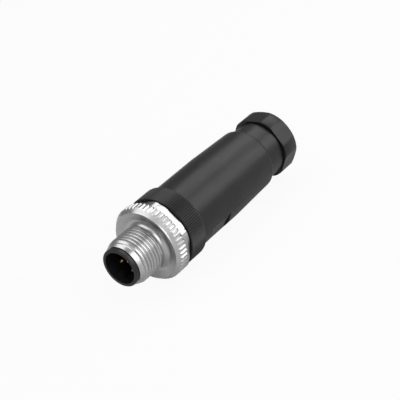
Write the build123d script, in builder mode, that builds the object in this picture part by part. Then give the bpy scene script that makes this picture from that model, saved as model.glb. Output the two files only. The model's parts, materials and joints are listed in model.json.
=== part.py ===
from build123d import *
import os
from math import cos, radians, sin, sqrt

# A straight five-pole circular plug, wired in the field.
# The axis lies along Y, the pins face -Y and +Z is up.
# The origin is on the axis, at the rear end of the coupling thread.
# All sizes are in millimetres, and every station is a place along Y.

# Coupling screw: the plated ring with the M12 thread
thread_radius = 6.0
thread_crest_gap = 0.06
barrel_length = 7.55
lead_in_depth = 0.74
lead_in_length = 1.95
relief_length = 0.55
relief_radius = 5.45
flange_root_radius = 1.4
flange_dish_depth = 0.88
flange_bevel_length = 1.2
flange_bevel_depth = 0.93
knurl_radius = 9.88
knurl_length = 2.13
knurl_count = 48
knurl_groove_width = 0.6
knurl_groove_depth = 0.42
knurl_groove_flank = 72.0
grip_hex_depth = 0.88
grip_hex_length = 2.0
grip_hex_chamfer = 0.66
grip_hex_chamfer_length = 0.5
grip_hex_angle = 11.25
running_gap = 0.07
cutting_margin = 1.0

# Contact insert: the moulded socket that surrounds the pins
sleeve_radius = 4.85
socket_radius = 4.2
lip_radius = 5.0
lip_length = 1.0
lip_rounding = 0.12
lip_gap = 0.05
socket_depth = 9.7
insert_tail = 2.2
key_width = 1.5
key_height = 0.75
key_root = 0.15
key_setback = 1.55
key_angle = 235.3

# Pins and their screw terminals
pole_count = 4
pin_radius = 0.5
pin_tip_radius = 0.22
pin_nose_length = 0.5
pin_circle = 5.0
pin_setback = 2.9
first_pin_angle = 190.3
fit_gap = 0.02
terminal_radius = 1.3
terminal_length = 10.5
shank_radius = 0.8
shank_length = 0.8
centre_terminal_length = 5.2
wire_bore_radius = 0.8
wire_bore_depth = 5.0
screw_radius = 0.75
screw_head_radius = 1.0
screw_head_length = 0.9
screw_slot_width = 0.35
screw_slot_depth = 0.4
screw_tip_gap = 0.1
screw_inset = 1.4

# Housing: the smooth moulded sleeve with a shoulder and a neck behind it
housing_gap = 0.05
housing_radius = 8.8
straight_length = 15.75
taper_length = 13.85
taper_drop = 0.49
shoulder_length = 0.9
housing_neck_drop = 1.35
housing_neck_length = 5.2
housing_thread_wall = 1.6
chamber_step = 0.35
chamber_neck_length = 1.5
chamber_cone_length = 1.3
flat_depth = 0.45
flat_start = 3.4
flat_length = 7.4
flat_angle = -39.7

# Contact carrier: the ribbed grip ring and the terminal block behind it
carrier_gap = 0.35
grip_ring_step = 0.26
grip_ring_length = 5.6
grip_ring_rounding = 0.6
rib_count = 104
rib_groove_depth = 0.3
rib_groove_width = 0.34
carrier_thread_length = 5.6
block_step = 0.9
block_wall = 0.5
block_channel_radius = 1.5
centre_boss_radius = 1.75

# Rings of rubber between the moulded pieces
seal_section = 0.5
insert_seal_section = 0.42
seal_groove_play = 0.04

# Cable gland: rubber seal, pinch ring, washer and hexagonal nut
gland_wall = 0.9
gland_play = 0.35
neck_length = 4.8
nut_gap = 0.25
nut_across = 15.7
nut_length = 5.3
nut_corner_height = 0.48
nut_front_chamfer = 0.2
nut_rear_chamfer = 0.5
neck_wall = 2.28
nut_mouth_chamfer = 0.6
washer_thickness = 0.8
washer_play = 0.25
pinch_wall = 2.2
pinch_base_length = 1.6
pinch_finger_length = 2.4
pinch_finger_count = 8
pinch_slot_width = 0.8
pinch_taper = 0.7
seal_wall = 2.9
seal_ledge = 1.9
seal_length = 5.6
seal_lip = 0.6
step_gap = 0.03

# Radii that follow from the sizes above
crest_radius = thread_radius - thread_crest_gap
screw_bore = sleeve_radius + running_gap
flange_face_radius = knurl_radius - flange_bevel_depth
grip_hex_apothem = knurl_radius - grip_hex_depth
grip_ring_radius = knurl_radius - grip_ring_step
female_thread_radius = housing_radius - housing_thread_wall
carrier_thread_radius = female_thread_radius - running_gap
block_radius = carrier_thread_radius - block_step
chamber_radius = female_thread_radius - chamber_step
taper_end_radius = housing_radius - taper_drop
housing_neck_radius = housing_radius - housing_neck_drop
gland_bore_radius = housing_neck_radius - gland_wall
gland_thread_radius = gland_bore_radius - running_gap
cable_bore_radius = gland_thread_radius - neck_wall
seal_radius = gland_bore_radius - gland_play
chamber_neck_radius = seal_radius - seal_ledge
seal_bore_radius = seal_radius - seal_wall
pinch_radius = gland_bore_radius - gland_play
pinch_bore_radius = pinch_radius - pinch_wall
washer_radius = gland_bore_radius - washer_play
nut_corner_radius = nut_across / 2 + nut_corner_height

# Stations along the axis, from the mating end to the cable end
dish_floor = relief_length + flange_root_radius
flange_front = dish_floor - flange_dish_depth
lip_front = -barrel_length - lip_length - lip_gap
socket_floor = lip_front + socket_depth
pin_tip = lip_front + pin_setback
knurl_front = flange_front + flange_bevel_length
knurl_rear = knurl_front + knurl_length
screw_rear = knurl_rear + grip_hex_length
carrier_front = screw_rear + carrier_gap
insert_rear = carrier_front + insert_tail
terminal_front = insert_rear + step_gap
terminal_rear = terminal_front + terminal_length
centre_terminal_front = terminal_rear + block_wall
outer_barrel_front = terminal_front + shank_length
centre_terminal_rear = centre_terminal_front + centre_terminal_length
carrier_seat = carrier_front + grip_ring_length
carrier_thread_end = carrier_seat + carrier_thread_length
housing_front = carrier_seat + housing_gap
straight_end = housing_front + straight_length
taper_end = straight_end + taper_length
shoulder_end = taper_end + shoulder_length
housing_rear = shoulder_end + housing_neck_length
nut_front = housing_rear + nut_gap
nut_rear = nut_front + nut_length
neck_front = nut_front - neck_length
washer_rear = neck_front - step_gap
washer_front = washer_rear - washer_thickness
pinch_rear = washer_front
pinch_step = pinch_rear - pinch_base_length
pinch_front = pinch_step - pinch_finger_length
gland_seal_rear = pinch_front - step_gap
gland_seal_front = gland_seal_rear - seal_length
chamber_end = gland_seal_front - chamber_neck_length
screw_station = terminal_rear - screw_inset - screw_head_radius
centre_screw_station = centre_terminal_rear - screw_inset - screw_head_radius / 2
pin_angles = [first_pin_angle + number * 360 / pole_count for number in range(pole_count)]
centre_screw_angle = first_pin_angle + 180 / pole_count


def station(place):
    """Cross plane at a place on the axis; what is extruded from it runs to the mating end."""
    return Plane.XZ.offset(-place)


def beside(across, up):
    """Lengthwise plane through a line that lies beside the axis."""
    return Plane(origin=(across, 0, up), x_dir=(1, 0, 0), z_dir=(0, 0, 1))


def outward(angle, reach, place):
    """Plane that looks straight out from the axis at an angle."""
    direction = (cos(radians(angle)), 0, sin(radians(angle)))
    origin = (reach * direction[0], place, reach * direction[2])
    return Plane(origin=origin, x_dir=(0, 1, 0), z_dir=direction)


def finish(builder, name):
    """Labels a piece and writes it."""
    builder.part.label = name
    export_step(builder.part, f"parts/{name}.step")


os.makedirs("parts", exist_ok=True)

# Coupling screw
with BuildPart() as coupling_screw:
    with BuildSketch(Plane.XY):
        with BuildLine():
            Polyline(
                (screw_bore, screw_rear),
                (screw_bore, -barrel_length),
                (crest_radius - lead_in_depth, -barrel_length),
                (crest_radius, -barrel_length + lead_in_length),
                (crest_radius, 0),
                (relief_radius, crest_radius - relief_radius),
                (relief_radius, relief_length),
            )
            RadiusArc(
                (relief_radius, relief_length),
                (relief_radius + flange_root_radius, dish_floor),
                -flange_root_radius,
            )
            Polyline(
                (relief_radius + flange_root_radius, dish_floor),
                (flange_face_radius, flange_front),
                (knurl_radius, knurl_front),
                (knurl_radius, screw_rear),
                (screw_bore, screw_rear),
            )
        make_face()
    revolve(axis=Axis.Y)
    with BuildSketch(station(knurl_rear)):
        with PolarLocations(knurl_radius - knurl_groove_depth / 2 + fit_gap, knurl_count):
            Trapezoid(knurl_groove_width, knurl_groove_depth, knurl_groove_flank, rotation=90)
    extrude(amount=knurl_length + flange_bevel_length, mode=Mode.SUBTRACT)
    with BuildSketch(station(screw_rear)):
        Circle(knurl_radius + cutting_margin)
        RegularPolygon(
            grip_hex_apothem, 6, major_radius=False, rotation=grip_hex_angle, mode=Mode.SUBTRACT
        )
    extrude(amount=grip_hex_length, mode=Mode.SUBTRACT)
    with BuildSketch(Plane.XY):
        with BuildLine():
            Polyline(
                (knurl_radius - grip_hex_chamfer, screw_rear),
                (knurl_radius + cutting_margin, screw_rear),
                (knurl_radius + cutting_margin, screw_rear - grip_hex_chamfer_length),
                (knurl_radius, screw_rear - grip_hex_chamfer_length),
                close=True,
            )
        make_face()
    revolve(axis=Axis.Y, mode=Mode.SUBTRACT)
finish(coupling_screw, "coupling_screw")

# Contact insert
insert_groove_depth = 2 * insert_seal_section + seal_groove_play
with BuildPart() as contact_insert:
    with BuildSketch(Plane.XY):
        with BuildLine():
            Polyline(
                (0, socket_floor),
                (socket_radius, socket_floor),
                (socket_radius, lip_front),
                (lip_radius, lip_front),
                (lip_radius, lip_front + lip_length),
                (sleeve_radius, lip_front + lip_length),
                (sleeve_radius, insert_rear),
                (0, insert_rear),
                (0, socket_floor),
            )
        make_face()
    revolve(axis=Axis.Y)
    lip_edge = contact_insert.edges().filter_by(GeomType.CIRCLE).sort_by(SortBy.RADIUS)[-2:]
    fillet(lip_edge.sort_by(Axis.Y)[0], lip_rounding)
    with BuildSketch(station(socket_floor)):
        with PolarLocations(
            socket_radius - key_height / 2 + key_root / 2, 1, start_angle=key_angle
        ):
            Rectangle(key_height + key_root, key_width)
    extrude(amount=socket_depth - key_setback)
    with BuildSketch(station(insert_rear)):
        Circle(pin_radius + fit_gap)
        with PolarLocations(pin_circle / 2, pole_count, start_angle=first_pin_angle):
            Circle(pin_radius + fit_gap)
    extrude(amount=insert_rear - socket_floor, mode=Mode.SUBTRACT)
    with BuildSketch(Plane.XY):
        with Locations((sleeve_radius, carrier_front + insert_tail / 2)):
            Rectangle(2 * insert_groove_depth, insert_groove_depth + seal_groove_play)
    revolve(axis=Axis.Y, mode=Mode.SUBTRACT)
finish(contact_insert, "contact_insert")

# Seal between the insert and the carrier
with BuildPart() as insert_seal:
    with BuildSketch(Plane.XY):
        with Locations((sleeve_radius - insert_seal_section, carrier_front + insert_tail / 2)):
            Circle(insert_seal_section)
    revolve(axis=Axis.Y)
finish(insert_seal, "insert_seal")

# Contact carrier
with BuildPart() as contact_carrier:
    with BuildSketch(Plane.XY):
        with BuildLine():
            Polyline(
                (0, carrier_front),
                (grip_ring_radius, carrier_front),
                (grip_ring_radius, carrier_seat),
                (carrier_thread_radius, carrier_seat),
                (carrier_thread_radius, carrier_thread_end),
                (block_radius, carrier_thread_end),
                (block_radius, terminal_rear),
                (centre_boss_radius, terminal_rear),
                (centre_boss_radius, centre_terminal_rear),
                (0, centre_terminal_rear),
                (0, carrier_front),
            )
        make_face()
    revolve(axis=Axis.Y)
    rear_ring_edge = contact_carrier.edges().filter_by(GeomType.CIRCLE).sort_by(SortBy.RADIUS)[-2:]
    fillet(rear_ring_edge.sort_by(Axis.Y)[-1], grip_ring_rounding)
    with BuildSketch(station(carrier_seat - grip_ring_rounding)):
        with PolarLocations(grip_ring_radius, rib_count):
            Rectangle(2 * rib_groove_depth, rib_groove_width)
    extrude(amount=grip_ring_length, mode=Mode.SUBTRACT)
    with BuildSketch(station(insert_rear)):
        Circle(sleeve_radius + fit_gap)
    extrude(amount=insert_tail, mode=Mode.SUBTRACT)
    with BuildSketch(station(terminal_rear)):
        with PolarLocations(pin_circle / 2, pole_count, start_angle=first_pin_angle):
            Circle(terminal_radius + fit_gap)
    extrude(amount=terminal_length + step_gap, mode=Mode.SUBTRACT)
    with BuildSketch(station(terminal_rear)):
        with PolarLocations(block_radius, pole_count, start_angle=centre_screw_angle):
            Circle(block_channel_radius)
    extrude(amount=terminal_rear - carrier_thread_end - step_gap, mode=Mode.SUBTRACT)
    with BuildSketch(station(centre_terminal_rear)):
        Circle(terminal_radius + fit_gap)
    extrude(amount=centre_terminal_length, mode=Mode.SUBTRACT)
    with BuildSketch(station(centre_terminal_front)):
        Circle(shank_radius + fit_gap)
    extrude(amount=centre_terminal_front - insert_rear, mode=Mode.SUBTRACT)
    for angle in pin_angles:
        with Locations(outward(angle, block_radius, screw_station)):
            Hole(screw_head_radius + fit_gap, depth=block_radius - pin_circle / 2)
    with Locations(outward(centre_screw_angle, centre_boss_radius, centre_screw_station)):
        Hole(screw_head_radius + fit_gap, depth=centre_boss_radius)
finish(contact_carrier, "contact_carrier")


def make_pin(name, across, up, barrel_front, barrel_rear, screw_place, screw_angle):
    """A turned contact: slim pin, stouter shank, then the terminal with its wire bore."""
    with BuildPart() as pin:
        with BuildSketch(beside(across, up)):
            with BuildLine():
                Polyline(
                    (0, pin_tip),
                    (pin_tip_radius, pin_tip),
                    (pin_radius, pin_tip + pin_nose_length),
                    (pin_radius, terminal_front),
                    (shank_radius, terminal_front),
                    (shank_radius, barrel_front),
                    (terminal_radius, barrel_front),
                    (terminal_radius, barrel_rear),
                    (wire_bore_radius, barrel_rear),
                    (wire_bore_radius, barrel_rear - wire_bore_depth),
                    (0, barrel_rear - wire_bore_depth),
                    (0, pin_tip),
                )
            make_face()
        revolve(axis=Axis((across, 0, up), (0, 1, 0)))
        reach = sqrt(across**2 + up**2) + terminal_radius
        with Locations(outward(screw_angle, reach, screw_place)):
            Hole(screw_radius + fit_gap, depth=terminal_radius)
    finish(pin, name)


def make_terminal_screw(name, seat, place, angle, reach):
    """A slotted screw that presses a wire into its terminal."""
    with BuildPart() as screw:
        with BuildSketch(outward(angle, seat - reach, place)):
            Circle(screw_radius)
        extrude(amount=reach)
        with BuildSketch(outward(angle, seat, place)):
            Circle(screw_head_radius)
        extrude(amount=screw_head_length)
        with BuildSketch(outward(angle, seat + screw_head_length, place)):
            Rectangle(2 * screw_head_radius, screw_slot_width)
        extrude(amount=-screw_slot_depth, mode=Mode.SUBTRACT)
    finish(screw, name)


# Four outer contacts with their terminal screws
outer_seat = pin_circle / 2 + terminal_radius + step_gap
screw_reach = terminal_radius + step_gap - screw_tip_gap
for number, angle in enumerate(pin_angles, start=1):
    across = pin_circle / 2 * cos(radians(angle))
    up = pin_circle / 2 * sin(radians(angle))
    make_pin(f"pin_{number}", across, up, outer_barrel_front, terminal_rear, screw_station, angle)
    make_terminal_screw(f"terminal_screw_{number}", outer_seat, screw_station, angle, screw_reach)

# Centre contact, whose terminal stands behind the others
make_pin(
    "pin_5", 0, 0, centre_terminal_front, centre_terminal_rear, centre_screw_station, centre_screw_angle
)
make_terminal_screw(
    "terminal_screw_5", terminal_radius + step_gap, centre_screw_station, centre_screw_angle, screw_reach
)

# Seal between the carrier and the housing
face_seal_radius = female_thread_radius + seal_section
with BuildPart() as housing_seal:
    with BuildSketch(Plane.XY):
        with Locations((face_seal_radius, carrier_seat + seal_section + seal_groove_play)):
            Circle(seal_section)
    revolve(axis=Axis.Y)
finish(housing_seal, "housing_seal")

# Housing
seal_seat = carrier_seat + 2 * seal_section + 3 * seal_groove_play
face_seal_outer = face_seal_radius + seal_section + seal_groove_play
with BuildPart() as housing:
    with BuildSketch(Plane.XY):
        with BuildLine():
            Polyline(
                (female_thread_radius, seal_seat),
                (face_seal_outer, seal_seat),
                (face_seal_outer, housing_front),
                (housing_radius, housing_front),
                (housing_radius, straight_end),
                (taper_end_radius, taper_end),
            )
            TangentArc(
                (taper_end_radius, taper_end),
                (housing_neck_radius, shoulder_end),
                tangent=(-taper_drop, taper_length),
            )
            Polyline(
                (housing_neck_radius, shoulder_end),
                (housing_neck_radius, housing_rear),
                (gland_bore_radius, housing_rear),
                (gland_bore_radius, gland_seal_front),
                (chamber_neck_radius, gland_seal_front),
                (chamber_neck_radius, chamber_end),
                (chamber_radius, chamber_end - chamber_cone_length),
                (chamber_radius, carrier_thread_end + step_gap),
                (female_thread_radius, carrier_thread_end + step_gap),
                (female_thread_radius, seal_seat),
            )
        make_face()
    revolve(axis=Axis.Y)
    with BuildSketch(station(housing_front + flat_start + flat_length)):
        with PolarLocations(
            housing_radius - flat_depth + cutting_margin, 2, start_angle=flat_angle
        ):
            Rectangle(2 * cutting_margin, 2 * housing_radius)
    extrude(amount=flat_length, mode=Mode.SUBTRACT)
finish(housing, "housing")

# Gland seal
with BuildPart() as gland_seal:
    with BuildSketch(Plane.XY):
        with BuildLine():
            Polyline(
                (seal_bore_radius, gland_seal_front + seal_lip),
                (seal_bore_radius + seal_lip, gland_seal_front),
                (seal_radius - seal_lip, gland_seal_front),
                (seal_radius, gland_seal_front + seal_lip),
                (seal_radius, gland_seal_rear),
                (seal_bore_radius + seal_lip, gland_seal_rear),
                (seal_bore_radius, gland_seal_rear - seal_lip),
                close=True,
            )
        make_face()
    revolve(axis=Axis.Y)
finish(gland_seal, "gland_seal")

# Pinch ring with its row of fingers
with BuildPart() as pinch_ring:
    with BuildSketch(Plane.XY):
        with BuildLine():
            Polyline(
                (pinch_bore_radius, pinch_rear),
                (pinch_radius, pinch_rear),
                (pinch_radius, pinch_step),
                (pinch_radius - pinch_taper, pinch_front),
                (pinch_bore_radius, pinch_front),
                close=True,
            )
        make_face()
    revolve(axis=Axis.Y)
    with BuildSketch(station(pinch_step)):
        with PolarLocations(pinch_radius / 2 + pinch_bore_radius / 2, pinch_finger_count):
            Rectangle(2 * (pinch_radius - pinch_bore_radius), pinch_slot_width)
    extrude(amount=pinch_finger_length, mode=Mode.SUBTRACT)
finish(pinch_ring, "pinch_ring")

# Thrust washer between the nut and the pinch ring
with BuildPart() as thrust_washer:
    with BuildSketch(station(washer_rear)):
        Circle(washer_radius)
        Circle(cable_bore_radius, mode=Mode.SUBTRACT)
    extrude(amount=washer_thickness)
finish(thrust_washer, "thrust_washer")

# Gland nut: a hexagon with a threaded neck that enters the housing
with BuildPart() as gland_nut:
    with BuildSketch(station(nut_rear)):
        RegularPolygon(nut_across / 2, 6, major_radius=False)
    extrude(amount=nut_length)
    with BuildSketch(Plane.XY):
        with BuildLine():
            Polyline(
                (0, nut_front),
                (nut_corner_radius - nut_front_chamfer, nut_front),
                (nut_corner_radius, nut_front + nut_front_chamfer),
                (nut_corner_radius, nut_rear - nut_rear_chamfer),
                (nut_corner_radius - nut_rear_chamfer, nut_rear),
                (0, nut_rear),
                close=True,
            )
        make_face()
    revolve(axis=Axis.Y, mode=Mode.INTERSECT)
    with BuildSketch(station(nut_front)):
        Circle(gland_thread_radius)
    extrude(amount=neck_length)
    with BuildSketch(Plane.XY):
        with BuildLine():
            Polyline(
                (0, neck_front),
                (cable_bore_radius, neck_front),
                (cable_bore_radius, nut_rear - nut_mouth_chamfer),
                (cable_bore_radius + nut_mouth_chamfer, nut_rear),
                (0, nut_rear),
                close=True,
            )
        make_face()
    revolve(axis=Axis.Y, mode=Mode.SUBTRACT)
finish(gland_nut, "gland_nut")
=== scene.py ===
"""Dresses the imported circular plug: its finishes, its turned and moulded relief, the studio."""

import json
import math

import bmesh
import bpy
from mathutils import Matrix, Vector


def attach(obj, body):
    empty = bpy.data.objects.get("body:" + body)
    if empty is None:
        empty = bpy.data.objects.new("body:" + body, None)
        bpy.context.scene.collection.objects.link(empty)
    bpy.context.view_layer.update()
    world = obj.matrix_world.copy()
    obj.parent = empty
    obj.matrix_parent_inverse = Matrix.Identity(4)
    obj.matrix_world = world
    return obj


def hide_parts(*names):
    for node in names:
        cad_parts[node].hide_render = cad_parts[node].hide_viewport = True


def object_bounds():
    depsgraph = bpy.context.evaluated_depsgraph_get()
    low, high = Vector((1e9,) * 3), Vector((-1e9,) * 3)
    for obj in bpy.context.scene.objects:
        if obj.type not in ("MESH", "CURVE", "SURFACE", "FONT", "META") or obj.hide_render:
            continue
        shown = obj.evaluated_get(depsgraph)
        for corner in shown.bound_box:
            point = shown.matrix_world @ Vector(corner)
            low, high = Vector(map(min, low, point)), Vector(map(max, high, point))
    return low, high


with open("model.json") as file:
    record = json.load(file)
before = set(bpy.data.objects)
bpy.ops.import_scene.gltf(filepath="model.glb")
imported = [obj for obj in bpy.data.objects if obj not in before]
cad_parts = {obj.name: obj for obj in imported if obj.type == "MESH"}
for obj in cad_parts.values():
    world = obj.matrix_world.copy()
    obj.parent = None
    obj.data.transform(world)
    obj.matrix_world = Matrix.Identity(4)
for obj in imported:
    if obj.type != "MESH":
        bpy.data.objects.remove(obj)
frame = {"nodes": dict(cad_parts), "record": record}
cad_low, cad_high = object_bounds()

MM = 0.001


def new_material(name):
    """A material with a Principled shader, and the coordinates of the piece in millimetres."""
    material = bpy.data.materials.new(name)
    material.use_nodes = True
    nodes, links = material.node_tree.nodes, material.node_tree.links
    shader = nodes["Principled BSDF"]
    coordinates = nodes.new("ShaderNodeTexCoord")
    scaled = nodes.new("ShaderNodeVectorMath")
    scaled.operation = "SCALE"
    scaled.inputs["Scale"].default_value = 1 / MM
    links.new(coordinates.outputs["Object"], scaled.inputs[0])
    return material, nodes, links, shader, scaled.outputs[0]


def noise(nodes, links, vector, scale, detail, roughness=0.5, stretch=None):
    """A noise value over the piece, which may be stretched along its axes."""
    if stretch is not None:
        mapping = nodes.new("ShaderNodeMapping")
        mapping.inputs["Scale"].default_value = stretch
        links.new(vector, mapping.inputs["Vector"])
        vector = mapping.outputs["Vector"]
    texture = nodes.new("ShaderNodeTexNoise")
    texture.inputs["Scale"].default_value = scale
    texture.inputs["Detail"].default_value = detail
    texture.inputs["Roughness"].default_value = roughness
    links.new(vector, texture.inputs["Vector"])
    return texture.outputs["Fac"]


# The range in which most of a noise value lies
NOISE_LOW = 0.3
NOISE_HIGH = 0.7


def spread(nodes, links, value, low, high):
    """A noise value brought to low..high."""
    ramp = nodes.new("ShaderNodeMapRange")
    ramp.inputs["From Min"].default_value = NOISE_LOW
    ramp.inputs["From Max"].default_value = NOISE_HIGH
    ramp.inputs["To Min"].default_value = low
    ramp.inputs["To Max"].default_value = high
    links.new(value, ramp.inputs["Value"])
    return ramp.outputs["Result"]


def between(nodes, links, value, first, second):
    """A colour between two, by a value from 0 to 1."""
    mix = nodes.new("ShaderNodeMix")
    mix.data_type = "RGBA"
    mix.inputs["A"].default_value = (*first, 1)
    mix.inputs["B"].default_value = (*second, 1)
    links.new(value, mix.inputs["Factor"])
    return mix.outputs["Result"]


def bump(nodes, links, shader, layers):
    """Chains bumps of (height, depth in metres, strength) onto the shader."""
    last = None
    for height, depth, strength in layers:
        node = nodes.new("ShaderNodeBump")
        node.inputs["Distance"].default_value = depth
        node.inputs["Strength"].default_value = strength
        links.new(height, node.inputs["Height"])
        if last is not None:
            links.new(last, node.inputs["Normal"])
        last = node.outputs["Normal"]
    links.new(last, shader.inputs["Normal"])


def turned_coordinates(nodes, links, vector):
    """Distance from the axis and place along it, so that noise on it runs in rings."""
    split = nodes.new("ShaderNodeSeparateXYZ")
    links.new(vector, split.inputs[0])
    flat = nodes.new("ShaderNodeCombineXYZ")
    links.new(split.outputs["X"], flat.inputs["X"])
    links.new(split.outputs["Z"], flat.inputs["Z"])
    length = nodes.new("ShaderNodeVectorMath")
    length.operation = "LENGTH"
    links.new(flat.outputs[0], length.inputs[0])
    rings = nodes.new("ShaderNodeCombineXYZ")
    links.new(length.outputs["Value"], rings.inputs["X"])
    links.new(split.outputs["Y"], rings.inputs["Y"])
    return rings.outputs[0]


def metal(name, light, dark, roughness, mark_depth):
    """A plated metal with the faint rings that turning leaves in its roughness."""
    material, nodes, links, shader, vector = new_material(name)
    shader.inputs["Metallic"].default_value = 1.0
    cloud = noise(nodes, links, vector, scale=0.35, detail=4)
    fine = noise(nodes, links, vector, scale=9.0, detail=2)
    rings = turned_coordinates(nodes, links, vector)
    marks = noise(nodes, links, rings, scale=14.0, detail=3, roughness=0.7)
    tone = spread(nodes, links, cloud, 0, 1)
    links.new(between(nodes, links, tone, dark, light), shader.inputs["Base Color"])
    links.new(spread(nodes, links, marks, *roughness), shader.inputs["Roughness"])
    bump(nodes, links, shader, [(marks, mark_depth, 0.5), (fine, mark_depth * 0.5, 0.3)])
    return material


def moulding(name, light, dark, roughness, grain_depth, specular=0.5):
    """A plastic or rubber with flow marks along the plug and a fine grain."""
    material, nodes, links, shader, vector = new_material(name)
    shader.inputs["Specular IOR Level"].default_value = specular
    cloud = noise(nodes, links, vector, scale=0.22, detail=5)
    flow = noise(nodes, links, vector, scale=0.9, detail=3, stretch=(1.0, 0.12, 1.0))
    grain = noise(nodes, links, vector, scale=6.5, detail=3, roughness=0.6)
    tone = spread(nodes, links, cloud, 0, 1)
    links.new(between(nodes, links, tone, dark, light), shader.inputs["Base Color"])
    links.new(spread(nodes, links, flow, *roughness), shader.inputs["Roughness"])
    bump(nodes, links, shader, [(flow, grain_depth * 2, 0.25), (grain, grain_depth, 0.6)])
    return material


finishes = {
    "nickel_plated_brass": metal(
        "satin_nickel",
        light=(0.56, 0.56, 0.565),
        dark=(0.52, 0.52, 0.525),
        roughness=(0.26, 0.32),
        mark_depth=0.0003 * MM,
    ),
    "gold_plated_brass": metal(
        "thin_gold",
        light=(0.95, 0.68, 0.30),
        dark=(0.86, 0.58, 0.24),
        roughness=(0.30, 0.40),
        mark_depth=0.002 * MM,
    ),
    "plated_steel": metal(
        "zinc_steel",
        light=(0.60, 0.60, 0.60),
        dark=(0.50, 0.50, 0.51),
        roughness=(0.24, 0.36),
        mark_depth=0.004 * MM,
    ),
    "black_polyamide": moulding(
        "black_moulding",
        light=(0.009, 0.009, 0.0095),
        dark=(0.006, 0.006, 0.0065),
        roughness=(0.34, 0.42),
        grain_depth=0.004 * MM,
        specular=0.4,
    ),
    "grey_polyamide": moulding(
        "pale_moulding",
        light=(0.46, 0.46, 0.45),
        dark=(0.40, 0.40, 0.39),
        roughness=(0.40, 0.50),
        grain_depth=0.008 * MM,
    ),
    "black_rubber": moulding(
        "soft_rubber",
        light=(0.024, 0.024, 0.025),
        dark=(0.016, 0.016, 0.017),
        roughness=(0.62, 0.76),
        grain_depth=0.012 * MM,
        specular=0.35,
    ),
}

for subpart in frame["record"]["subparts"]:
    node = frame["nodes"][subpart["node"]]
    node.data.materials.clear()
    node.data.materials.append(finishes[subpart["material_slot"]])


# Turned and moulded pieces; all lengths are in millimetres, and places run along the Y axis

FLANK_ANGLE = 30
CREST_SHARE = 0.42
CREST_ROUNDING = 0.12
# Shares of the crest's rounding, from its flank inward, with the share of the depth lost there
CREST_SHAPE = [(0.0, 0.2), (0.25, 0.1), (0.6, 0.03), (1.0, 0.0)]
# Shares of the depth that the root rises by at its edges, and part of the way to them
ROOT_EDGE_RISE = 0.12
ROOT_RISE = 0.02
ROOT_RISE_SHARE = 0.45
# A row of the thread nearer to its end than this share of the pitch joins the end's ring
END_MARGIN = 0.012
HEXAGON = 6


def thread_profile(crest, root, pitch):
    """Knots over one pitch as (share of the pitch, radius): rounded crest, flanks, rounded root."""
    depth = crest - root
    flank = depth * math.tan(math.radians(FLANK_ANGLE)) / pitch
    foot = CREST_SHARE + flank
    hollow = (1 - foot - flank) / 2
    middle = foot + hollow
    beside = hollow * ROOT_RISE_SHARE
    rising = [(CREST_ROUNDING * share, crest - loss * depth) for share, loss in CREST_SHAPE]
    falling = [(CREST_SHARE - share, radius) for share, radius in reversed(rising)]
    hollowed = [
        (foot, root + ROOT_EDGE_RISE * depth),
        (middle - beside, root + ROOT_RISE * depth),
        (middle, root),
        (middle + beside, root + ROOT_RISE * depth),
        (1 - flank, root + ROOT_EDGE_RISE * depth),
    ]
    return rising + falling + hollowed


def profile_radius(knots, share):
    """The radius of the thread's profile at a share of its pitch."""
    share %= 1.0
    closed = knots + [(1.0, knots[0][1])]
    for (a, ra), (b, rb) in zip(closed, closed[1:]):
        if a <= share <= b:
            return ra + (rb - ra) * (share - a) / (b - a)
    return knots[0][1]


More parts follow.
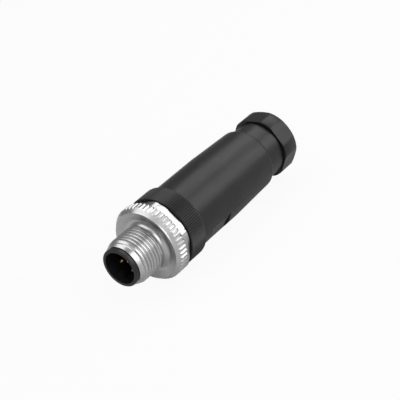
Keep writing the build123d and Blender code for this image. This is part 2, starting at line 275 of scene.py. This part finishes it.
class TurnedMesh:
    """A watertight mesh made of columns round the Y axis."""

    def __init__(self, angles):
        self.angles = [math.radians(angle) for angle in angles]
        self.vertices = []
        self.faces = []

    def vertex(self, column, radius, place):
        angle = self.angles[column % len(self.angles)]
        self.vertices.append(
            (radius * math.cos(angle) * MM, place * MM, radius * math.sin(angle) * MM)
        )
        return len(self.vertices) - 1

    def ring(self, radius_at, place):
        """A ring of vertices, whose radius depends on the angle."""
        return [
            self.vertex(column, radius_at(angle), place)
            for column, angle in enumerate(self.angles)
        ]

    def circle(self, radius, place):
        """A ring of one radius."""
        return self.ring(lambda angle: radius, place)

    def add_face(self, corners):
        """A face with the corners that fall together joined, unless fewer than three are left."""
        kept = []
        for corner in corners:
            if corner not in kept:
                kept.append(corner)
        if len(kept) > 2:
            self.faces.append(kept)

    def skin(self, rings):
        """Faces between each ring and the next."""
        count = len(self.angles)
        for first, second in zip(rings, rings[1:]):
            for column in range(count):
                after = (column + 1) % count
                self.add_face([first[column], first[after], second[after], second[column]])

    def thread(self, first, last, knots, pitch, envelope, phase=0.0):
        """Rows that follow the helix between two rings, which it makes and returns."""
        count = len(self.angles)
        margin = pitch * END_MARGIN
        shares = [share for share, _ in knots]
        lead = [angle / (2 * math.pi) * pitch - phase for angle in self.angles]
        low = math.floor(first / pitch) - 1
        high = math.ceil(last / pitch) + 2

        def radius(place, column):
            share = (place + lead[column]) / pitch
            return min(profile_radius(knots, share), envelope(place))

        start = [self.vertex(c, radius(first, c), first) for c in range(count)]
        end = [self.vertex(c, radius(last, c), last) for c in range(count)]
        rows = [
            (turn, number)
            for turn in range(low, high + 1)
            for number in range(len(shares))
        ]
        made = {}

        def corner(column, turn, number):
            if column == count:
                column, turn = 0, turn - 1
            place = pitch * (turn + shares[number]) - lead[column]
            if place < first + margin:
                return start[column]
            if place > last - margin:
                return end[column]
            key = (column, turn, number)
            if key not in made:
                made[key] = self.vertex(column, radius(place, column), place)
            return made[key]

        for column in range(count):
            for (turn, number), (turn_after, number_after) in zip(rows, rows[1:]):
                self.add_face(
                    [
                        corner(column, turn, number),
                        corner(column + 1, turn, number),
                        corner(column + 1, turn_after, number_after),
                        corner(column, turn_after, number_after),
                    ]
                )
        return start, end

    def make(self, name, sharp_angle):
        mesh = bpy.data.meshes.new(name)
        mesh.from_pydata(self.vertices, [], self.faces)
        mesh.validate()
        work = bmesh.new()
        work.from_mesh(mesh)
        bmesh.ops.recalc_face_normals(work, faces=work.faces)
        work.to_mesh(mesh)
        work.free()
        shade_smooth(mesh, sharp_angle)
        piece = bpy.data.objects.new(name, mesh)
        bpy.context.scene.collection.objects.link(piece)
        return piece


def shade_smooth(mesh, sharp_angle):
    """Smooth shading up to the edges that are sharper than the angle in degrees."""
    for polygon in mesh.polygons:
        polygon.use_smooth = True
    mesh.set_sharp_from_angle(angle=math.radians(sharp_angle))


def hexagon_radius(angle, apothem, corner_radius, first_corner):
    """Radius of a hexagon whose corners are turned off."""
    step = 2 * math.pi / HEXAGON
    offset = (angle - first_corner) % step - step / 2
    return min(apothem / math.cos(offset), corner_radius)


def grooved(count, shape, depth, first=0.0):
    """A mesh whose columns follow grooves round the axis, and the depth at each of its angles.

    The shape gives degrees from the middle of a groove with the share of its depth there.
    """
    angles = [
        first + 360 / count * groove + angle for groove in range(count) for angle, _ in shape
    ]
    body = TurnedMesh(angles)
    shares = [share for _, share in shape] * count
    return body, {angle: share * depth for angle, share in zip(body.angles, shares)}


def arc(steps):
    """Angles in radians of a quarter turn in equal steps."""
    return [math.radians(90 * step / steps) for step in range(steps + 1)]


THREAD_CREST = 5.94
THREAD_ROOT = 5.47
THREAD_PITCH = 1.0
THREAD_PHASE = 0.16
BARREL_FRONT = -7.55
LEAD_IN_DEPTH = 0.74
LEAD_IN_LENGTH = 1.95
THREAD_END = 0.56
UNDERCUT = 5.25
UNDERCUT_SLOPE = 1.8
ROOT_FILLET = 1.4
FILLET_START = 0.6
FILLET_STEPS = 8
DISH_SHARES = (0.25, 0.5, 0.75, 0.93, 0.985)
RIM_RADIUS = 8.95
RIM_PLACE = 1.07
RIM_ROUNDING = 0.02
RIM_ROUNDING_LENGTH = 0.005
BEVEL_SHARES = (0.04, 0.3, 0.6, 0.9, 1.0)
KNURL_RADIUS = 9.88
KNURL_FRONT = 2.27
KNURL_REAR = 4.20
KNURL_RUN = 0.3
KNURL_EDGE = 0.03
KNURL_EDGE_LENGTH = 0.05
GROOVE_DEPTH = 0.31
GROOVE_COUNT = 52
GROOVE_START = 35.3
GROOVE_SHAPE = [
    (-3.46, 0.0),
    (-2.75, 0.0),
    (-2.08, 0.0),
    (-0.15, 1.0),
    (0.15, 1.0),
    (2.08, 0.0),
    (2.75, 0.0),
]
HEX_APOTHEM = 8.8
HEX_ANGLE = 12.1
HEX_PLAY = 0.02
HEX_REAR = 6.55
HEX_CHAMFER_RADIUS = 9.05
HEX_CHAMFER_LENGTH = 0.66
HEX_FIRST_STEP = 0.8
HEX_LAST_STEPS = (0.35, 0.2, 0.05)
HEX_EDGE = 0.03
REAR_FACE_MIDDLE = 7.4
SCREW_BORE = 4.92
BORE_CHAMFER = 0.25
BORE_CHAMFER_LENGTH = 0.2
SCREW_SHARP_ANGLE = 32


def make_coupling_screw():
    """The coupling screw with its thread, dished flange, knurl and wrench hexagon."""
    body, depth_at = grooved(GROOVE_COUNT, GROOVE_SHAPE, GROOVE_DEPTH, GROOVE_START)

    def chamfered(place):
        return min(
            THREAD_CREST,
            THREAD_CREST - LEAD_IN_DEPTH * (1 - (place - BARREL_FRONT) / LEAD_IN_LENGTH),
            max(UNDERCUT, THREAD_CREST - UNDERCUT_SLOPE * max(place, 0)),
        )

    knots = thread_profile(THREAD_CREST, THREAD_ROOT, THREAD_PITCH)
    start, end = body.thread(
        BARREL_FRONT, THREAD_END, knots, THREAD_PITCH, chamfered, THREAD_PHASE
    )

    outline = [
        (
            UNDERCUT + ROOT_FILLET * (1 - math.cos(turn)),
            FILLET_START + ROOT_FILLET * math.sin(turn),
        )
        for turn in arc(FILLET_STEPS)
    ]
    dish_radius, dish_place = outline[-1]
    for share in DISH_SHARES:
        outline.append(
            (
                dish_radius + (RIM_RADIUS - dish_radius) * share,
                dish_place + (RIM_PLACE - dish_place) * share,
            )
        )
    outline.append((RIM_RADIUS + RIM_ROUNDING, RIM_PLACE + RIM_ROUNDING_LENGTH))
    rings = [end] + [body.circle(radius, place) for radius, place in outline]

    # The grooves run out on the bevel, so each column has its own places there
    slope = (KNURL_RADIUS - RIM_RADIUS) / (KNURL_FRONT - RIM_PLACE)
    for share in BEVEL_SHARES:
        ring = []
        for column, angle in enumerate(body.angles):
            radius = RIM_RADIUS + (KNURL_RADIUS - depth_at[angle] - RIM_RADIUS) * share
            place = RIM_PLACE + (radius - RIM_RADIUS) / slope
            ring.append(body.vertex(column, radius, place))
        rings.append(ring)

    def knurl(edge):
        return lambda angle: KNURL_RADIUS - max(depth_at[angle], edge)

    rings.append(body.ring(knurl(0.0), KNURL_FRONT + KNURL_RUN))
    rings.append(body.ring(knurl(0.0), KNURL_REAR - KNURL_EDGE_LENGTH))
    rings.append(body.ring(knurl(KNURL_EDGE), KNURL_REAR))

    def hexagon(place, inward):
        cone = HEX_CHAMFER_RADIUS + (HEX_REAR - place) / HEX_CHAMFER_LENGTH * (
            KNURL_RADIUS - HEX_CHAMFER_RADIUS
        )
        first_corner = math.radians(HEX_ANGLE)
        corner_radius = KNURL_RADIUS - HEX_PLAY
        return lambda angle: (
            min(hexagon_radius(angle, HEX_APOTHEM, corner_radius, first_corner), cone) - inward
        )

    places = [KNURL_REAR, KNURL_REAR + HEX_FIRST_STEP, HEX_REAR - HEX_CHAMFER_LENGTH]
    places += [HEX_REAR - step for step in HEX_LAST_STEPS]
    rings += [body.ring(hexagon(place, 0.0), place) for place in places]
    rings.append(body.ring(hexagon(HEX_REAR, HEX_EDGE), HEX_REAR))

    rings.append(body.circle(REAR_FACE_MIDDLE, HEX_REAR))
    rings.append(body.circle(SCREW_BORE + BORE_CHAMFER, HEX_REAR))
    rings.append(body.circle(SCREW_BORE, HEX_REAR - BORE_CHAMFER_LENGTH))
    rings.append(body.circle(SCREW_BORE, BARREL_FRONT))
    rings.append(start)
    body.skin(rings)
    return body.make("coupling_screw_turned", SCREW_SHARP_ANGLE)


RIB_COUNT = 104
RIB_DEPTH = 0.21
RIB_SHAPE = [(-1.73, 0.0), (-1.42, 0.0), (-0.15, 1.0), (0.15, 1.0), (1.42, 0.0)]
RING_RADIUS = 9.62
RING_BORE = 7.5
RING_FRONT = 6.75
RING_REAR = 12.35
RING_FACE_STEP = 0.2
RING_FRONT_ROUNDING = 0.15
RING_FRONT_TURNS = (0, 30, 60, 90)
RING_REAR_ROUNDING = 0.6
RING_REAR_TURNS = (0, 12, 24, 36, 48, 60, 75, 90)
# Degrees of the rear rounding over which the grooves fade out, and the share of the rounding
# that is added to their depth there
RIB_FADE = 60
RIB_ROUNDING = 0.6
CUTTER_STEPS = 72
CUTTER_MARGIN = 1
MOULDED_SHARP_ANGLE = 30


def make_grip_ring():
    """The ribbed ring of the carrier, down to the core that it is moulded on."""
    body, depth_at = grooved(RIB_COUNT, RIB_SHAPE, RIB_DEPTH)
    face_radius = RING_RADIUS - RIB_DEPTH - RING_FACE_STEP
    rings = [body.circle(RING_BORE, RING_FRONT), body.circle(face_radius, RING_FRONT)]

    def front(drop):
        return lambda angle: RING_RADIUS - drop - depth_at[angle]

    def rear(drop, fade):
        return lambda angle: (
            RING_RADIUS - max(drop, depth_at[angle] * fade + drop * RIB_ROUNDING)
        )

    for turn in RING_FRONT_TURNS:
        drop = RING_FRONT_ROUNDING * (1 - math.sin(math.radians(turn)))
        place = RING_FRONT + RING_FRONT_ROUNDING * (1 - math.cos(math.radians(turn)))
        rings.append(body.ring(front(drop), place))
    start = RING_REAR - RING_REAR_ROUNDING
    for turn in RING_REAR_TURNS:
        drop = RING_REAR_ROUNDING * (1 - math.cos(math.radians(turn)))
        place = start + RING_REAR_ROUNDING * math.sin(math.radians(turn))
        rings.append(body.ring(rear(drop, max(0.0, 1 - turn / RIB_FADE)), place))
    rings.append(body.circle(RING_BORE, RING_REAR))
    rings.append(rings[0])
    body.skin(rings)
    return body.make("grip_ring_moulded", MOULDED_SHARP_ANGLE)


def make_carrier_core():
    """The rest of the carrier: its solid, less the ring."""
    carrier = frame["nodes"]["contact_carrier"]
    core = bpy.data.objects.new("contact_carrier_core", carrier.data.copy())
    core.matrix_world = carrier.matrix_world.copy()
    bpy.context.scene.collection.objects.link(core)
    cutter = TurnedMesh([360 / CUTTER_STEPS * step for step in range(CUTTER_STEPS)])
    rings = [
        cutter.circle(RING_BORE, RING_FRONT - CUTTER_MARGIN),
        cutter.circle(RING_RADIUS + CUTTER_MARGIN, RING_FRONT - CUTTER_MARGIN),
        cutter.circle(RING_RADIUS + CUTTER_MARGIN, RING_REAR + CUTTER_MARGIN),
        cutter.circle(RING_BORE, RING_REAR + CUTTER_MARGIN),
    ]
    cutter.skin(rings + rings[:1])
    tool = cutter.make("ring_cutter", MOULDED_SHARP_ANGLE)
    cut = core.modifiers.new("cut", "BOOLEAN")
    cut.operation = "DIFFERENCE"
    cut.solver = "EXACT"
    cut.object = tool
    bpy.context.view_layer.update()
    evaluated = core.evaluated_get(bpy.context.evaluated_depsgraph_get())
    shaped = bpy.data.meshes.new_from_object(evaluated)
    core.modifiers.clear()
    core.data = shaped
    core.data.materials.clear()
    shade_smooth(core.data, MOULDED_SHARP_ANGLE)
    bpy.data.objects.remove(tool)
    return core


NUT_FRONT = 48.35
NUT_REAR = 53.65
NUT_APOTHEM = 7.85
NUT_CORNER = 8.33
NUT_FRONT_CHAMFER = 0.2
NUT_REAR_CHAMFER = 0.5
NUT_CHAMFER_LEAD = 0.05
# What the chamfers are divided by where they are softened
NUT_FRONT_SOFTENING = 3
NUT_REAR_SOFTENING = 4
NUT_REAR_MIDDLE = 1.6
NUT_BORE = 4.2
NUT_MOUTH = 0.6
NUT_MOUTH_ROUNDING = 0.08
NUT_MOUTH_END = 0.05
NUT_MOUTH_END_LENGTH = 0.1
NUT_FRONT_FACE_MIDDLE = 7.2
NUT_REAR_FACE_MIDDLE = 6.3
# Degrees from a corner, closest together where it is turned off
NUT_COLUMNS = (
    -30, -26, -22, -19.6, -16, -11.2, -9.6, -5, 0, 5, 9.6, 11.2, 16, 19.6, 22, 26
)
NECK_FRONT = 43.55
NECK_CREST = 6.48
NECK_ROOT = 5.78
NECK_PITCH = 1.5
NECK_LEAD_IN = 0.75
NECK_THREAD_END = 0.7
NECK_RELIEF = 0.5


def make_gland_nut():
    """The gland's nut: a hexagon with its corners turned off, and a threaded neck."""
    body = TurnedMesh(
        [360 / HEXAGON * corner + angle for corner in range(HEXAGON) for angle in NUT_COLUMNS]
    )

    def tapered(place):
        return min(NECK_CREST, NECK_CREST - NECK_LEAD_IN + (place - NECK_FRONT))

    knots = thread_profile(NECK_CREST, NECK_ROOT, NECK_PITCH)
    start, end = body.thread(
        NECK_FRONT, NUT_FRONT - NECK_THREAD_END, knots, NECK_PITCH, tapered
    )
    rings = [
        end,
        body.circle(NECK_ROOT, NUT_FRONT - NECK_RELIEF),
        body.circle(NECK_ROOT, NUT_FRONT),
        body.circle(NUT_FRONT_FACE_MIDDLE, NUT_FRONT),
    ]

    def hexagon(limit):
        return lambda angle: min(hexagon_radius(angle, NUT_APOTHEM, NUT_CORNER, 0.0), limit)

    front_step = NUT_FRONT_CHAMFER / NUT_FRONT_SOFTENING
    rear_step = NUT_REAR_CHAMFER / NUT_REAR_SOFTENING
    rear_middle = NUT_REAR_CHAMFER / NUT_REAR_MIDDLE
    for limit, place in (
        (NUT_CORNER - NUT_FRONT_CHAMFER, NUT_FRONT),
        (NUT_CORNER - front_step, NUT_FRONT + front_step),
        (NUT_CORNER, NUT_FRONT + NUT_FRONT_CHAMFER),
        (NUT_CORNER, NUT_REAR - NUT_REAR_CHAMFER - NUT_CHAMFER_LEAD),
        (NUT_CORNER - rear_step, NUT_REAR - rear_middle),
        (NUT_CORNER - rear_middle, NUT_REAR - rear_step),
        (NUT_CORNER - NUT_REAR_CHAMFER, NUT_REAR),
    ):
        rings.append(body.ring(hexagon(limit), place))
    for radius, place in (
        (NUT_REAR_FACE_MIDDLE, NUT_REAR),
        (NUT_BORE + NUT_MOUTH + NUT_MOUTH_ROUNDING, NUT_REAR),
        (NUT_BORE + NUT_MOUTH, NUT_REAR - NUT_MOUTH_ROUNDING),
        (NUT_BORE + NUT_MOUTH_END, NUT_REAR - NUT_MOUTH),
        (NUT_BORE, NUT_REAR - NUT_MOUTH - NUT_MOUTH_END_LENGTH),
        (NUT_BORE, NECK_FRONT),
    ):
        rings.append(body.circle(radius, place))
    rings.append(start)
    body.skin(rings)
    return body.make("gland_nut_moulded", MOULDED_SHARP_ANGLE)


def stands_for(piece, node, body, slot):
    """The piece takes the place of a CAD node on its body, in the finish of its slot."""
    piece.data.materials.append(finishes[slot])
    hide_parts(node)
    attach(piece, body)


# The core is cut from the carrier's solid before that is replaced
carrier_core = make_carrier_core()
stands_for(make_coupling_screw(), "coupling_screw", "coupling", "nickel_plated_brass")
stands_for(make_gland_nut(), "gland_nut", "gland_nut", "black_polyamide")
stands_for(make_grip_ring(), "contact_carrier", "core", "black_polyamide")
stands_for(carrier_core, "contact_carrier", "core", "black_polyamide")


# Floor, light and camera; these lengths are in metres unless MM stands by them

FLOOR_REACH = 0.8
FLOOR_GAP = 0.02
FLOOR_TONE = 0.56
FLOOR_ROUGHNESS = 0.9
FLOOR_SPECULAR = 0.1
# Shares of plain white in the floor, as the camera and as a mirroring surface see it
SEEN_WHITE = 0.93
MIRRORED_WHITE = 0.12


def make_floor_material():
    """Pale paper that takes the shadow, and shows nearly white to the camera."""
    material = bpy.data.materials.new("floor_paper")
    material.use_nodes = True
    nodes, links = material.node_tree.nodes, material.node_tree.links
    paper = nodes["Principled BSDF"]
    paper.inputs["Base Color"].default_value = (FLOOR_TONE, FLOOR_TONE, FLOOR_TONE, 1)
    paper.inputs["Roughness"].default_value = FLOOR_ROUGHNESS
    paper.inputs["Specular IOR Level"].default_value = FLOOR_SPECULAR
    light_path = nodes.new("ShaderNodeLightPath")
    share = nodes.new("ShaderNodeMath")
    share.operation = "MULTIPLY_ADD"
    share.inputs[1].default_value = SEEN_WHITE
    mirrored = nodes.new("ShaderNodeMath")
    mirrored.operation = "MAXIMUM"
    links.new(light_path.outputs["Is Glossy Ray"], mirrored.inputs[0])
    links.new(light_path.outputs["Is Transmission Ray"], mirrored.inputs[1])
    mirrored_share = nodes.new("ShaderNodeMath")
    mirrored_share.operation = "MULTIPLY"
    mirrored_share.inputs[1].default_value = MIRRORED_WHITE
    links.new(mirrored.outputs[0], mirrored_share.inputs[0])
    links.new(light_path.outputs["Is Camera Ray"], share.inputs[0])
    links.new(mirrored_share.outputs[0], share.inputs[2])
    white = nodes.new("ShaderNodeEmission")
    white.inputs["Color"].default_value = (1, 1, 1, 1)
    mix = nodes.new("ShaderNodeMixShader")
    links.new(share.outputs[0], mix.inputs["Fac"])
    links.new(paper.outputs[0], mix.inputs[1])
    links.new(white.outputs[0], mix.inputs[2])
    links.new(mix.outputs[0], nodes["Material Output"].inputs["Surface"])
    return material


floor_mesh = bpy.data.meshes.new("floor")
floor_mesh.from_pydata(
    [
        (-FLOOR_REACH, -FLOOR_REACH, 0),
        (FLOOR_REACH, -FLOOR_REACH, 0),
        (FLOOR_REACH, FLOOR_REACH, 0),
        (-FLOOR_REACH, FLOOR_REACH, 0),
    ],
    [],
    [(0, 1, 2, 3)],
)
floor = bpy.data.objects.new("floor", floor_mesh)
floor.location.z = cad_low.z - FLOOR_GAP * MM
bpy.context.scene.collection.objects.link(floor)
floor_mesh.materials.append(make_floor_material())

WORLD_STRENGTH = 0.25
world = bpy.data.worlds.new("studio")
bpy.context.scene.world = world
world.use_nodes = True
background = world.node_tree.nodes["Background"]
background.inputs["Color"].default_value = (1, 1, 1, 1)
background.inputs["Strength"].default_value = WORLD_STRENGTH

LIT_POINT = Vector((0, 20 * MM, 0))
# Name, direction from the lit point, distance, length, width and radiance
BOXES = [
    ("box_right", (0.82, 0.2, 0.54), 0.5, 1.1, 0.36, 2.3),
    ("box_fill", (0.26, -0.56, 0.79), 0.6, 0.4, 0.4, 0.6),
    ("box_low", (1.0, -0.30, 0.08), 0.5, 0.3, 0.2, 1.3),
    ("box_top", (-0.02, 0.64, 0.78), 0.5, 0.42, 0.34, 1.9),
    ("box_front", (-0.4, -0.2, 0.9), 0.7, 0.6, 0.6, 1.5),
]


def softbox(name, direction, distance, length, width, radiance):
    """A lamp that faces the object, its length as near to the plug's axis as its direction lets.

    The radiance is its brightness where it is seen.
    """
    data = bpy.data.lights.new(name, "AREA")
    data.shape = "RECTANGLE"
    data.size = length
    data.size_y = width
    data.energy = radiance * math.pi * length * width
    lamp = bpy.data.objects.new(name, data)
    away = Vector(direction).normalized()
    side = away.cross(Vector((0, 1, 0))).normalized()
    lengthwise = side.cross(away)
    lamp_axes = Matrix((lengthwise, -side, away)).transposed().to_4x4()
    lamp.matrix_world = Matrix.Translation(LIT_POINT + away * distance) @ lamp_axes
    bpy.context.scene.collection.objects.link(lamp)


for box in BOXES:
    softbox(*box)

FOCAL_PIXELS = 1300
PICTURE_PIXELS = 400
SENSOR = 36.0
# Angles between the line of sight and the plug's axis, between that axis and the picture's
# lower edge, and from +X up to the side of the plug that faces the camera
VIEW_ANGLE = math.radians(51)
PICTURE_ANGLE = math.radians(40.7)
ROLL_ANGLE = math.radians(35.3)
# In millimetres: a place on the plug's axis, the steps from it to the middle of the picture,
# along and across the axis as the picture shows it, and the way from there to the lens
CAMERA_ORIGIN = -7.85
CAMERA_ALONG = 23.58
CAMERA_ACROSS = 0.10
CAMERA_DISTANCE = 298.2
NEAREST = 0.01
FARTHEST = 10

along = Vector((0, 1, 0))
across_up = Vector((math.cos(ROLL_ANGLE), 0, math.sin(ROLL_ANGLE)))
across_down = Vector((math.sin(ROLL_ANGLE), 0, -math.cos(ROLL_ANGLE)))
forward = along * math.cos(VIEW_ANGLE) - across_up * math.sin(VIEW_ANGLE)
axis_in_picture = along * math.sin(VIEW_ANGLE) + across_up * math.cos(VIEW_ANGLE)
right = axis_in_picture * math.cos(PICTURE_ANGLE) + across_down * math.sin(PICTURE_ANGLE)
up = axis_in_picture * math.sin(PICTURE_ANGLE) - across_down * math.cos(PICTURE_ANGLE)
camera_data = bpy.data.cameras.new("camera")
camera_data.sensor_width = SENSOR
camera_data.lens = FOCAL_PIXELS * SENSOR / PICTURE_PIXELS
camera_data.clip_start = NEAREST
camera_data.clip_end = FARTHEST
camera = bpy.data.objects.new("camera", camera_data)
camera_place = (
    Vector((0, CAMERA_ORIGIN, 0))
    + axis_in_picture * CAMERA_ALONG
    + across_down * CAMERA_ACROSS
    - forward * CAMERA_DISTANCE
)
camera_axes = Matrix((right, up, -forward)).transposed().to_4x4()
camera.matrix_world = Matrix.Translation(camera_place * MM) @ camera_axes
bpy.context.scene.collection.objects.link(camera)
bpy.context.scene.camera = camera

bpy.context.scene.view_settings.view_transform = "Standard"
